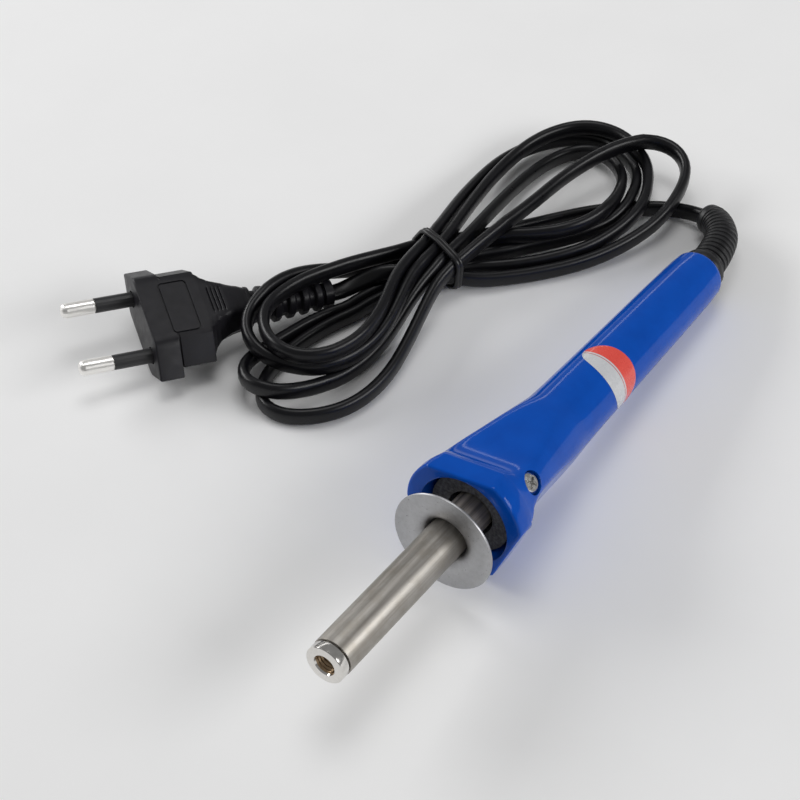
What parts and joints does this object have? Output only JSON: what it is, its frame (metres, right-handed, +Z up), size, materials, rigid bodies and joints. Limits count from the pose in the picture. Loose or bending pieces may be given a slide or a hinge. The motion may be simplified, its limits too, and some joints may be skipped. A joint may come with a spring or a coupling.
{
  "type": "soldering iron",
  "caption": "Mains soldering iron without a tip: threaded nose, steel barrel, guard disc, flared plastic handle, bent strain relief boot and a flat cord tied in a hank with a flat two-pin plug.",
  "frame": {"origin": "on the surface the iron lies on, under the middle of the iron without its cord, plug and strain relief boot", "axes": "+X along the iron from the nose to the cord end, +Y towards the side where the cord lies, +Z up"},
  "size_m": [0.2172, 0.1414, 0.0297],
  "materials": {
    "handle_plastic": "glossy blue injection-moulded plastic",
    "label_film": "red and silver sticker film",
    "plated_screw": "bright plated cross-head screw",
    "washer_board": "rough black insulating board",
    "barrel_steel": "brushed steel, browned near the handle",
    "clamp_steel": "plain turned steel",
    "disc_steel": "satin pressed steel with fine scratches",
    "nose_chrome": "bright turned metal",
    "heater_ceramic": "unglazed off-white ceramic",
    "coil_wire": "oxidised resistance wire",
    "mica": "rolled mica sheet",
    "glass_sleeving": "woven glass-fibre sleeving",
    "crimp_metal": "tinned crimp",
    "core_brown": "brown core insulation",
    "core_blue": "blue core insulation",
    "grommet_plastic": "natural nylon",
    "boot_rubber": "black soft PVC with moulded rings",
    "cord_jacket": "black semi-gloss PVC flat cord",
    "tie_plastic": "black plastic-covered wire tie",
    "plug_plastic": "fine-textured black moulding",
    "sleeve_plastic": "smooth black pin sleeve",
    "pin_metal": "nickel-plated pin"
  },
  "bodies": {
    "iron": {"handle": "handle_plastic", "rating_label": "label_film", "insulating_washer": "washer_board", "barrel_tube": "barrel_steel", "barrel_clamp": "clamp_steel", "guard_disc": "disc_steel", "nose_bush": "nose_chrome", "heater_core": "heater_ceramic", "heating_coil": "coil_wire", "mica_sleeve": "mica", "ceramic_bead": "heater_ceramic", "heater_lead_live": "coil_wire", "heater_lead_neutral": "coil_wire", "lead_sleeve_live": "glass_sleeving", "lead_sleeve_neutral": "glass_sleeving", "crimp_live": "crimp_metal", "crimp_neutral": "crimp_metal", "cord_core_live": "core_brown", "cord_core_neutral": "core_blue", "core_grommet": "grommet_plastic", "strain_relief_boot": "boot_rubber", "cord_lead": "cord_jacket", "cord_hank": "cord_jacket", "cord_plug_lead": "cord_jacket", "cord_tie": "tie_plastic", "plug_body": "plug_plastic", "pin_sleeve_near": "sleeve_plastic", "pin_sleeve_far": "sleeve_plastic", "plug_pin_near": "pin_metal", "plug_pin_far": "pin_metal"},
    "screw": {"retaining_screw": "plated_screw"}
  },
  "joints": [
    {"name": "retaining_screw_turn", "type": "hinge", "parent": "iron", "child": "screw", "pos_m": [-0.0186, -0.01019, 0.02326], "axis": [0.0513, -0.7658, 0.641], "continuous": true}
  ]
}
